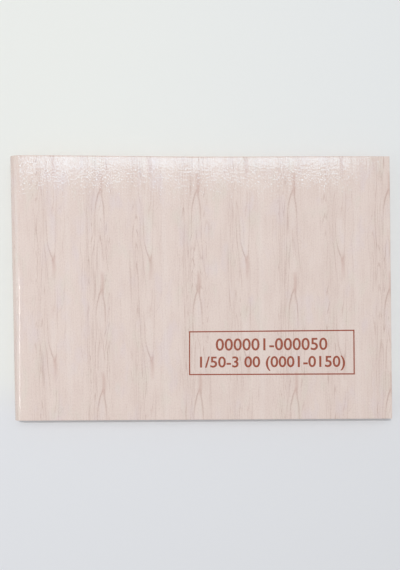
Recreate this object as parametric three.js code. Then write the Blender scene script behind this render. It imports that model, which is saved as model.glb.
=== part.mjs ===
// A carbonless receipt book, lying closed and face up, in millimetres.
// +X runs from the spine to the fore-edge, +Y up the page and +Z up from the table.
// The origin is the middle of the underside.
import * as THREE from 'three';

// Driving dimensions of the trimmed book
const bookLength = 200;
const bookHeight = 140;

// Paper and card
const leafThickness = 0.065;
const leavesPerSet = 3;
const setCount = 50;
const coverThickness = 0.4;
const shieldThickness = 0.35;
const shieldMargin = 1;

// Binding: a rounded back, a skin of glue, and stubs that stay when a leaf is torn off
const spineRadius = 4;
const glueThickness = 0.3;
const stubWidth = 12;

// Staples of flat wire, driven through the stubs beside the spine
const stapleInset = 7;
const stapleSpacing = 70;
const crownLength = 13;
const clinchLength = 5;
const wireWidth = 0.7;
const wireThickness = 0.5;

// Clearances
const airGap = 0.01;
const fitGap = 0.05;
const wireClearance = 0.1;

// The last sets are pressed into one slab by the clinched wire
const joinedSets = Math.ceil((wireThickness + airGap) / (leavesPerSet * leafThickness));

const arcSegments = 12;

const setThickness = leavesPerSet * leafThickness;
const setPitch = setThickness + airGap;
const leafPitch = leafThickness + airGap;

// Levels, from the table up
const blockBottom = coverThickness + airGap;
const lowerSetsTop = blockBottom + (setCount - 1) * setPitch - airGap;
const shieldBottom = lowerSetsTop + airGap;
const topSetBottom = shieldBottom + shieldThickness + airGap;
const blockTop = topSetBottom + leavesPerSet * leafPitch - airGap;
const frontCoverBottom = blockTop + airGap;
const bookThickness = frontCoverBottom + coverThickness;

// Lines across the book, from the spine to the fore-edge
const spineX = -bookLength / 2;
const foreEdgeX = bookLength / 2;
const coverFoldX = spineX + spineRadius;
const leafFoldX = spineX + stubWidth;
const stapleX = spineX + stapleInset;

const glueOuterRadius = spineRadius - coverThickness - airGap;
const glueInnerRadius = glueOuterRadius - glueThickness;
const leafEndRadius = glueInnerRadius - fitGap;

const laminatedCard = new THREE.MeshStandardMaterial({ color: 0xe0d2ca, roughness: 0.32, metalness: 0 });
const whitePaper = new THREE.MeshStandardMaterial({ color: 0xf4f3ee, roughness: 0.85, metalness: 0 });
const yellowPaper = new THREE.MeshStandardMaterial({ color: 0xf3e9a8, roughness: 0.85, metalness: 0 });
const pinkPaper = new THREE.MeshStandardMaterial({ color: 0xf0c8cc, roughness: 0.85, metalness: 0 });
const greyBoard = new THREE.MeshStandardMaterial({ color: 0xb9b2a4, roughness: 0.9, metalness: 0 });
const bindingGlue = new THREE.MeshStandardMaterial({ color: 0xe9e2c8, roughness: 0.45, metalness: 0 });
const galvanisedWire = new THREE.MeshStandardMaterial({ color: 0xb8bcc0, roughness: 0.35, metalness: 1 });

const receiptBook = new THREE.Group();

function addPart(name, geometry, material, level = 0) {
  const part = new THREE.Mesh(geometry, material);
  part.name = name;
  part.position.z = level;
  receiptBook.add(part);
}

function rectangle(path, xFrom, xTo, yFrom, yTo) {
  path.moveTo(xFrom, yFrom);
  path.lineTo(xTo, yFrom);
  path.lineTo(xTo, yTo);
  path.lineTo(xFrom, yTo);
  path.closePath();
  return path;
}

function sheet(xFrom, xTo, height, thickness, holes = []) {
  const outline = rectangle(new THREE.Shape(), xFrom, xTo, -height / 2, height / 2);
  outline.holes.push(...holes);
  return new THREE.ExtrudeGeometry(outline, { depth: thickness, bevelEnabled: false });
}

// A profile drawn in X and Z becomes a strip that runs the whole height of the book
function stripAlongSpine(profile) {
  const geometry = new THREE.ExtrudeGeometry(profile, {
    depth: bookHeight,
    bevelEnabled: false,
    curveSegments: arcSegments,
  });
  geometry.rotateX(Math.PI / 2);
  geometry.translate(0, bookHeight / 2, 0);
  return geometry;
}

// A round-cornered C, open towards the fore-edge, between two radii about the corner centres
function roundedBack(outerRadius, innerRadius, endX) {
  const lowCentre = spineRadius;
  const highCentre = bookThickness - spineRadius;
  const profile = new THREE.Shape();
  profile.moveTo(endX, highCentre + outerRadius);
  profile.absarc(coverFoldX, highCentre, outerRadius, Math.PI / 2, Math.PI, false);
  profile.absarc(coverFoldX, lowCentre, outerRadius, Math.PI, 1.5 * Math.PI, false);
  profile.lineTo(endX, lowCentre - outerRadius);
  profile.lineTo(endX, lowCentre - innerRadius);
  profile.absarc(coverFoldX, lowCentre, innerRadius, 1.5 * Math.PI, Math.PI, true);
  profile.absarc(coverFoldX, highCentre, innerRadius, Math.PI, Math.PI / 2, true);
  profile.lineTo(endX, highCentre + innerRadius);
  return stripAlongSpine(profile);
}

// Where a slab between two levels ends at the spine, so that its corners follow the rounded back
function spineEnd(bottom, top) {
  const below = spineRadius - bottom;
  const above = top - (bookThickness - spineRadius);
  const rise = Math.max(below, above, 0);
  if (rise >= leafEndRadius) return coverFoldX + fitGap;
  return coverFoldX - Math.sqrt(leafEndRadius ** 2 - rise ** 2);
}

const stapleCentres = [stapleSpacing / 2, -stapleSpacing / 2];

function holesForLegs() {
  const across = wireWidth / 2 + wireClearance;
  const along = wireThickness / 2 + wireClearance;
  const legOffset = (crownLength - wireThickness) / 2;
  const legs = stapleCentres.flatMap((y) => [y - legOffset, y + legOffset]);
  return legs.map((y) =>
    rectangle(new THREE.Path(), stapleX - across, stapleX + across, y - along, y + along));
}

// Where the paper gives way under a crown or under clinched points
function seatsForWire() {
  const across = wireWidth / 2 + wireClearance;
  const along = crownLength / 2 + wireClearance;
  return stapleCentres.map((y) =>
    rectangle(new THREE.Path(), stapleX - across, stapleX + across, y - along, y + along));
}

function buildCovers() {
  const foldedPart = roundedBack(spineRadius, spineRadius - coverThickness, coverFoldX);
  addPart('cover_spine', foldedPart, laminatedCard);
  const panel = () => sheet(coverFoldX + fitGap, foreEdgeX, bookHeight, coverThickness);
  addPart('front_cover', panel(), laminatedCard, frontCoverBottom);
  addPart('back_cover', panel(), laminatedCard);
}

function buildGlue() {
  addPart('spine_glue', roundedBack(glueOuterRadius, glueInnerRadius, coverFoldX), bindingGlue);
}

function stapleProfile() {
  const half = crownLength / 2;
  const inner = half - wireThickness;
  const tip = half - clinchLength;
  const clinchTop = blockBottom + wireThickness;
  const crownBottom = blockTop - wireThickness;
  const right = [
    [tip, blockBottom],
    [half, blockBottom],
    [half, blockTop],
  ];
  const rightInside = [
    [inner, crownBottom],
    [inner, clinchTop],
    [tip, clinchTop],
  ];
  const mirrored = (points) => points.map(([y, z]) => [-y, z]).reverse();
  const outline = [...right, ...mirrored(right), ...mirrored(rightInside), ...rightInside];
  return new THREE.Shape(outline.map(([y, z]) => new THREE.Vector2(y, z)));
}

function buildStaples() {
  const names = ['staple_upper', 'staple_lower'];
  stapleCentres.forEach((y, index) => {
    const geometry = new THREE.ExtrudeGeometry(stapleProfile(), { depth: wireWidth, bevelEnabled: false });
    geometry.rotateX(Math.PI / 2);
    geometry.rotateZ(Math.PI / 2);
    geometry.translate(stapleX - wireWidth / 2, y, 0);
    addPart(names[index], geometry, galvanisedWire);
  });
}

// Sets two to fifty, each one slab of leaves, with the lowest ones joined
function buildLowerSets() {
  const number = (n) => String(n).padStart(2, '0');
  const firstJoined = setCount - joinedSets + 1;
  const joinedThickness = joinedSets * setPitch - airGap;
  const joinedEnd = spineEnd(blockBottom, blockBottom + joinedThickness);
  const joinedSlab = sheet(joinedEnd, foreEdgeX, bookHeight, joinedThickness, seatsForWire());
  addPart(`sets_${number(firstJoined)}_to_${number(setCount)}`, joinedSlab, whitePaper, blockBottom);
  for (let set = 2; set < firstJoined; set += 1) {
    const bottom = blockBottom + (setCount - set) * setPitch;
    const end = spineEnd(bottom, bottom + setThickness);
    const slab = sheet(end, foreEdgeX, bookHeight, setThickness, holesForLegs());
    addPart(`set_${number(set)}`, slab, whitePaper, bottom);
  }
}

// The first set, leaf by leaf: each is a bound stub and, past its perforation, a leaf that turns
function buildTopSet() {
  const leaves = [
    ['original', whitePaper],
    ['first_copy', yellowPaper],
    ['second_copy', pinkPaper],
  ];
  leaves.slice(0, leavesPerSet).forEach(([name, paper], index) => {
    const bottom = blockTop - leafThickness - index * leafPitch;
    const end = spineEnd(bottom, bottom + leafThickness);
    const stub = sheet(end, leafFoldX - fitGap, bookHeight, leafThickness, seatsForWire());
    addPart(`${name}_stub`, stub, paper, bottom);
    const leaf = sheet(leafFoldX + fitGap, foreEdgeX, bookHeight, leafThickness);
    addPart(`${name}_leaf`, leaf, paper, bottom);
  });
}

function buildShield() {
  const from = leafFoldX + shieldMargin;
  const to = foreEdgeX - shieldMargin;
  const card = sheet(from, to, bookHeight - 2 * shieldMargin, shieldThickness);
  addPart('writing_shield', card, greyBoard, shieldBottom);
}

buildCovers();
buildGlue();
buildStaples();
buildTopSet();
buildShield();
buildLowerSets();

export default receiptBook;
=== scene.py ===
# %% [markdown]
# # A receipt book in Blender
# The book lies closed and face up. Its cover is one laminated card with a printed wood grain, folded
# round a stapled and glued block of thin leaves. The imported model is loaded first, as a frame that never
# moves. Each piece below is then modelled in metres in that frame, and most ride on one of its bodies.

# %% Load the frame
import math
import random

import bpy
from mathutils import Matrix, Vector


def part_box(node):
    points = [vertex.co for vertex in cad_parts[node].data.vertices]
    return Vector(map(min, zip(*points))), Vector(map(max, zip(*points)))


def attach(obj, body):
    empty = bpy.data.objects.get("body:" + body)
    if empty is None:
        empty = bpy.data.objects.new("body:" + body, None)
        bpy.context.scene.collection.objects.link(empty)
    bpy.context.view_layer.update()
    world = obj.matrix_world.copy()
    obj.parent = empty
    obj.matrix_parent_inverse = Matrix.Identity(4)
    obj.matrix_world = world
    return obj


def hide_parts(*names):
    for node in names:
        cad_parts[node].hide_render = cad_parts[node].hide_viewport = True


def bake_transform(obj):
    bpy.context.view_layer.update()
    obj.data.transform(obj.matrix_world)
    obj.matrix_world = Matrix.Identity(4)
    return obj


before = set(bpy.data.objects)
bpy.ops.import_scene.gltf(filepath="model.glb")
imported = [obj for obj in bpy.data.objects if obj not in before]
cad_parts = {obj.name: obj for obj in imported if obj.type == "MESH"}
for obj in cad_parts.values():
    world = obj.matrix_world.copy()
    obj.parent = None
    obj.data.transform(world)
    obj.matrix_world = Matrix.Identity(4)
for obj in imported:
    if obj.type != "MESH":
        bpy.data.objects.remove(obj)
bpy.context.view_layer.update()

# %% [markdown]
# ## Sizes
# A bookbinder would write these down first: the trimmed page, the thickness of each stock, and the
# levels at which the covers and the first set of leaves lie. Most are read off the frame, so that the
# visible pieces sit exactly where the solids are.

# %% Sizes, in millimetres
MM = 0.001
NEAR = 0.01  # two places closer than this count as the same


def node_box(name):
    low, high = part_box(name)
    return [v * 1000 for v in low], [v * 1000 for v in high]


front_low, front_high = node_box("front_cover")
spine_low, spine_high = node_box("cover_spine")
stub_low, stub_high = node_box("original_stub")
leaf_low = node_box("original_leaf")[0]
shield_low, shield_high = node_box("writing_shield")
upper_low, upper_high = node_box("staple_upper")
joined_low, joined_high = node_box("sets_48_to_50")
set_low, set_high = node_box("set_02")

# The book in the photograph is trimmed this much closer than the standard size, at the head and at the tail
TRIM = 0.7
half_height = front_high[1] - TRIM
fore_edge = front_high[0]
spine_back = spine_low[0]
fold_line = spine_high[0]
perforation = (stub_high[0] + leaf_low[0]) / 2
card = front_high[2] - front_low[2]
book_top = front_high[2]
book_middle = book_top / 2
back_radius = fold_line - spine_back
leaf = stub_high[2] - stub_low[2]
leaf_end_radius = fold_line - node_box("set_20")[0][0]
print("page", fore_edge - spine_back, "x", 2 * half_height, "thickness", round(book_top, 2))
print("card", round(card, 3), "leaf", round(leaf, 3), "perforation at x", round(perforation, 2))

# %% [markdown]
# ## Modelling helpers
# Operators work on what is selected, and the frame's own parts are selected after loading. So each helper
# starts from nothing selected, and picks vertices, edges or faces by where they are.


# %% Helpers for modelling by hand
def deselect():
    if bpy.context.mode != "OBJECT":
        bpy.ops.object.mode_set(mode="OBJECT")
    bpy.ops.object.select_all(action="DESELECT")


def take(piece):
    deselect()
    piece.select_set(True)
    bpy.context.view_layer.objects.active = piece


def settle(piece):
    """The object goes to the origin, unturned and unscaled, with its place in its mesh."""
    take(piece)
    bpy.ops.object.transform_apply(location=True, rotation=True, scale=True)


def grid(name, low, high, level, columns=1, rows=1):
    """A flat sheet between two corners, given in millimetres."""
    deselect()
    bpy.ops.mesh.primitive_grid_add(
        x_subdivisions=columns,
        y_subdivisions=rows,
        size=MM,
        location=((low[0] + high[0]) / 2 * MM, (low[1] + high[1]) / 2 * MM, level * MM),
    )
    piece = bpy.context.object
    piece.name = piece.data.name = name
    piece.scale = (high[0] - low[0], high[1] - low[1], 1)
    settle(piece)
    return piece


def pick(piece, kind, test):
    """Selects vertices, edges by both ends, or faces by their middle that pass the test, in edit mode."""
    take(piece)
    bpy.ops.object.mode_set(mode="EDIT")
    bpy.ops.mesh.select_mode(type=kind)
    bpy.ops.mesh.select_all(action="DESELECT")
    bpy.ops.object.mode_set(mode="OBJECT")
    mesh = piece.data
    places = [v.co * 1000 for v in mesh.vertices]
    if kind == "VERT":
        for v, place in zip(mesh.vertices, places):
            v.select = test(place)
    elif kind == "EDGE":
        for e in mesh.edges:
            e.select = all(test(places[i]) for i in e.vertices)
    else:
        for p in mesh.polygons:
            p.select = test(p.center * 1000)
    bpy.ops.object.mode_set(mode="EDIT")


def cut(piece, axis, places):
    """Cuts the whole sheet straight across at each place."""
    take(piece)
    bpy.ops.object.mode_set(mode="EDIT")
    normal = [0, 0, 0]
    normal["xyz".index(axis)] = 1
    for place in places:
        bpy.ops.mesh.select_all(action="SELECT")
        bpy.ops.mesh.bisect(plane_co=[n * place * MM for n in normal], plane_no=normal)
    bpy.ops.object.mode_set(mode="OBJECT")


def remove_faces(piece, test):
    pick(piece, "FACE", test)
    bpy.ops.mesh.delete(type="FACE")
    bpy.ops.object.mode_set(mode="OBJECT")


# %% [markdown]
# A shaped mesh is then finished: modifiers are applied, doubles are merged, vertices are moved by a rule, and
# a UV map says where each place lies on the flat sheet, so that a pattern follows it round a bend. In the end
# each piece reports its size.


# %% Helpers for finishing by hand
UV_SPAN = 250  # millimetres to one unit of the UV map


def modify(piece, kind, **settings):
    """Adds a modifier and applies it."""
    take(piece)
    modifier = piece.modifiers.new(kind.title(), kind)
    for name, value in settings.items():
        setattr(modifier, name, value)
    bpy.ops.object.modifier_apply(modifier=modifier.name)


def face_outwards(piece):
    take(piece)
    bpy.ops.object.mode_set(mode="EDIT")
    bpy.ops.mesh.select_all(action="SELECT")
    bpy.ops.mesh.remove_doubles(threshold=0.000001)
    bpy.ops.mesh.normals_make_consistent(inside=False)
    bpy.ops.object.mode_set(mode="OBJECT")


def shape(piece, move):
    """Moves every vertex by hand: move gets and gives back x, y and z in millimetres."""
    for v in piece.data.vertices:
        v.co = [c * MM for c in move(*(v.co * 1000))]
    piece.data.update()


def lay_out(piece, unroll):
    """A UV map in which the sheet lies flat: unroll gets x, y and z and gives back its place there."""
    mesh = piece.data
    layer = mesh.uv_layers.get("flat") or mesh.uv_layers.new(name="flat")
    for loop in mesh.loops:
        along, up = unroll(*(mesh.vertices[loop.vertex_index].co * 1000))
        layer.data[loop.index].uv = (along / UV_SPAN, up / UV_SPAN)


def smooth(piece, angle=35):
    take(piece)
    bpy.ops.object.shade_smooth_by_angle(angle=math.radians(angle))


def report(piece):
    size = [round((max(c) - min(c)) * 1000, 2) for c in zip(*(v.co for v in piece.data.vertices))]
    print(piece.name, "faces", len(piece.data.polygons), "size in mm", size)


# %% [markdown]
# ## Camera
# The photograph looks straight down from about 0.4 m above the table, a little left of the middle, so
# that the rounded back shows along the left edge. The lens follows from how wide the book is in the frame.

# %% Camera
camera_height = 410
camera_data = bpy.data.cameras.new("camera")
camera_data.sensor_width = 36
camera_data.lens = 47.882
camera_data.clip_start = 0.01
camera = bpy.data.objects.new("camera", camera_data)
camera.location = (-10.98 * MM, -11.39 * MM, camera_height * MM)
camera.rotation_euler = [math.radians(a) for a in (1.818, -1.417, -0.124)]
bpy.context.scene.collection.objects.link(camera)
bpy.context.scene.camera = camera
bpy.context.scene.view_settings.view_transform = "Standard"
print("camera", [round(v, 4) for v in camera.location])

# %% [markdown]
# ## Shader helpers
# Materials are graphs of small nodes. These helpers add a node and wire it in one line, so that a
# finish reads like a recipe.


# %% Helpers for shader graphs
class Graph:
    def __init__(self, tree):
        self.tree = tree

    def add(self, kind, **settings):
        node = self.tree.nodes.new(kind)
        for name, value in settings.items():
            setattr(node, name, value)
        return node

    def feed(self, socket, value):
        if isinstance(value, bpy.types.NodeSocket):
            self.tree.links.new(value, socket)
        elif value is not None:
            socket.default_value = value

    def math(self, operation, a, b=None, c=None, clamp=False):
        node = self.add("ShaderNodeMath", operation=operation, use_clamp=clamp)
        for socket, value in zip(node.inputs, (a, b, c)):
            self.feed(socket, value)
        return node.outputs[0]

    def vector(self, operation, a, b=None):
        node = self.add("ShaderNodeVectorMath", operation=operation)
        self.feed(node.inputs[0], a)
        self.feed(node.inputs[1], b)
        return node.outputs["Value" if operation == "DOT_PRODUCT" else "Vector"]

    def ramp(self, value, start, end, low=0.0, high=1.0):
        """Rises smoothly from low to high as the value goes from start to end."""
        node = self.add("ShaderNodeMapRange", interpolation_type="SMOOTHSTEP")
        for socket, number in zip(node.inputs, (value, start, end, low, high)):
            self.feed(socket, number)
        return node.outputs["Result"]

    def noise(self, vector, scale, detail=2.0, rough=0.5, size=(1, 1, 1), tint=False):
        mapping = self.add("ShaderNodeMapping")
        self.feed(mapping.inputs["Vector"], vector)
        mapping.inputs["Scale"].default_value = size
        node = self.add("ShaderNodeTexNoise")
        self.feed(node.inputs["Vector"], mapping.outputs["Vector"])
        node.inputs["Scale"].default_value = scale
        node.inputs["Detail"].default_value = detail
        node.inputs["Roughness"].default_value = rough
        return node.outputs["Color" if tint else "Fac"]

    def mix(self, factor, a, b, blend="MIX"):
        node = self.add("ShaderNodeMix", data_type="RGBA", blend_type=blend)
        self.feed(node.inputs[0], factor)
        self.feed(node.inputs[6], a)
        self.feed(node.inputs[7], b)
        return node.outputs[2]

    def bump(self, height, strength, distance, normal=None):
        node = self.add("ShaderNodeBump")
        node.inputs["Strength"].default_value = strength
        node.inputs["Distance"].default_value = distance
        self.feed(node.inputs["Height"], height)
        if normal is not None:
            self.feed(node.inputs["Normal"], normal)
        return node.outputs["Normal"]

    def group(self, tree, **inputs):
        node = self.add("ShaderNodeGroup", node_tree=tree)
        for name, value in inputs.items():
            self.feed(node.inputs[name.replace("_", " ")], value)
        return node.outputs

    def flat(self):
        """Millimetres on the sheet laid flat, from its UV map."""
        uv = self.add("ShaderNodeUVMap", uv_map="flat").outputs["UV"]
        return self.vector("MULTIPLY", uv, (UV_SPAN, UV_SPAN, 0))

    def solid(self):
        """Millimetres in the object's own space."""
        place = self.add("ShaderNodeTexCoord").outputs["Object"]
        return self.vector("MULTIPLY", place, (1000, 1000, 1000))


def colour(r, g, b):
    """A screen colour of 0 to 255 as the linear colour that Blender counts in."""

    def linear(c):
        c /= 255
        return c / 12.92 if c <= 0.04045 else ((c + 0.055) / 1.055) ** 2.4

    return (linear(r), linear(g), linear(b), 1)


def new_group(name, inputs, outputs):
    """A node group with its sockets, and the graph to fill it with."""
    tree = bpy.data.node_groups.new(name, "ShaderNodeTree")
    kinds = {"value": "NodeSocketFloat", "vector": "NodeSocketVector", "colour": "NodeSocketColor"}
    for in_out, sockets in (("INPUT", inputs), ("OUTPUT", outputs)):
        for socket, kind in sockets.items():
            tree.interface.new_socket(name=socket, in_out=in_out, socket_type=kinds[kind])
    graph = Graph(tree)
    return tree, graph, graph.add("NodeGroupInput").outputs, graph.add("NodeGroupOutput").inputs


def new_material(name, **constants):
    """A material and its Principled shader, with the numbers that are the same all over on its sockets."""
    material = bpy.data.materials.new(name)
    material.use_nodes = True
    shader = material.node_tree.nodes["Principled BSDF"]
    for socket, value in constants.items():
        shader.inputs[socket.replace("_", " ")].default_value = value
    return material, Graph(material.node_tree), shader.inputs


# %% [markdown]
# ## The table
# The book lies on a plain pale table. Its colour carries painted shade: a faintly green white on the left
# turns to a bluer, slightly darker one on the right, and to a darker one towards the tail, so the material
# mixes these whites by place. Seen from below, a table would hide the underside of the book. So it lets the
# view through there, and also the light that reaches a face lying on it.


# %% Table
CLOSE_BY = 0.0006  # metres: a light path this short starts on a face that lies on the table


def table_material():
    material, graph, shader = new_material("table", Roughness=0.9)
    shader["Specular IOR Level"].default_value = 0.1
    place = graph.solid()
    cloudy = graph.noise(place, 0.004, 2)
    pale = graph.mix(cloudy, colour(236, 239, 236), colour(233, 235, 232))
    across = graph.add("ShaderNodeSeparateXYZ")
    graph.feed(across.inputs[0], place)
    # Painted shade: the white turns bluer and a little darker towards the right, and darker towards the tail.
    painted_shade_right = graph.ramp(across.outputs[0], -110, 130)
    painted_shade_below = graph.ramp(across.outputs[1], -40, -74)
    white_with_painted_shade = graph.mix(painted_shade_right, pale, colour(232, 235, 236))
    white_with_painted_shade = graph.mix(painted_shade_below, white_with_painted_shade, colour(227, 229, 233))
    graph.feed(shader["Base Color"], white_with_painted_shade)
    surface = material.node_tree.nodes["Material Output"].inputs["Surface"]
    clear = graph.add("ShaderNodeBsdfTransparent")
    chooser = graph.add("ShaderNodeMixShader")
    geometry = graph.add("ShaderNodeNewGeometry")
    path = graph.add("ShaderNodeLightPath")
    close_by = graph.math("LESS_THAN", path.outputs["Ray Length"], CLOSE_BY)
    bounced = graph.math("SUBTRACT", close_by, path.outputs["Is Camera Ray"])
    graph.feed(chooser.inputs[0], graph.math("MAXIMUM", geometry.outputs["Backfacing"], bounced))
    graph.feed(chooser.inputs[1], material.node_tree.nodes["Principled BSDF"].outputs["BSDF"])
    graph.feed(chooser.inputs[2], clear.outputs["BSDF"])
    graph.feed(surface, chooser.outputs["Shader"])
    return material


table = grid("table", (-3000, -3000), (3000, 3000), -0.05)
table.data.materials.append(table_material())
print("table", [round(d, 1) for d in table.dimensions], "m")

# %% [markdown]
# ## The light
# Plain light and gloss come from separate lamps, so that each can be set by itself. A small lamp high up
# beyond the head of the book throws the thin crisp shadow along its tail. A soft panel near it and a faint
# wall on the left fill that in. None of the three shows in the gloss. Three others show only there: a panel
# beyond the head is the glossy band along the head of the cover, and a strip and a panel on the left draw the
# line down the shoulder and lighten the rounded back. The world fills in the rest.


# %% Lamps
def lamp(name, place, aim, size, power, along=(1, 0, 0), outline="RECTANGLE", tint=(1, 1, 1)):
    """An area light at a place in millimetres that looks at its aim, with its long side along a direction."""
    data = bpy.data.lights.new(name, "AREA")
    data.shape = outline
    data.size = size[0] * MM
    data.size_y = size[-1] * MM
    data.energy = power
    data.color = tint
    light = bpy.data.objects.new(name, data)
    bpy.context.scene.collection.objects.link(light)
    back = (Vector(place) - Vector(aim)).normalized()
    side = (Vector(along) - back * Vector(along).dot(back)).normalized()
    turn = Matrix((side, back.cross(side), back)).transposed()
    light.matrix_world = Matrix.Translation(Vector(place) * MM) @ turn.to_4x4()
    light.visible_camera = False
    return light


key_lamp = lamp("small lamp", (-150, 215, 1200), (0, 0, 0), (40, 40), 5.0, outline="DISK")
soft_lamp = lamp("soft panel", (-50, 352, 1000), (-50, 0, 0), (500, 200), 1.05)
fill_lamp = lamp("left wall", (-350, -65, 420), (-98, -35, 9), (300, 200), 0.14, (0, 1, 0))
for light in (key_lamp, soft_lamp, fill_lamp):
    light.visible_glossy = False

panel_tint = (0.58, 0.85, 1)
wall_tint = (0.6, 0.95, 1)
gloss_panel = lamp(
    "back panel", (6, 344, 1000), (6, 344, 0), (636, 200), 2.85, (1, 0.025, 0), tint=panel_tint
)
spine_strip = lamp("left strip", (-273, -80, 420), (-95, -35, 11), (215, 60), 0.4, (0, 1, 0))
spine_panel = lamp(
    "left panel", (-478, 14, 330), (-95, 14, 9), (340, 325), 0.42, (0, 1, 0), tint=wall_tint
)
for light in (gloss_panel, spine_strip, spine_panel):
    light.visible_diffuse = False

world = bpy.data.worlds.new("room")
bpy.context.scene.world = world
world.use_nodes = True
background = world.node_tree.nodes["Background"]
background.inputs["Color"].default_value = (1, 1, 1, 1)
background.inputs["Strength"].default_value = 0.52
lamps = [piece.name for piece in bpy.context.scene.objects if piece.type == "LIGHT"]
print("lamps", lamps)

# %% [markdown]
# ## The wood grain print
# The card is printed with a pale wood grain that repeats every 51 by 53 mm. A printer's tile holds a few
# long veins, two of which run together in a V over a dark stem, and two of which spread from under another
# stem. An image would be the usual way, but a print drawn by nodes stays sharp and needs no file. Each
# vein is a curve that gives its place across the tile at each height, and a second one that gives its
# strength there. Thin veins, the broader ink of the arms, the stems and the pale lenses between them are
# the same kind of curve, and differ in their width and their ink.

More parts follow.
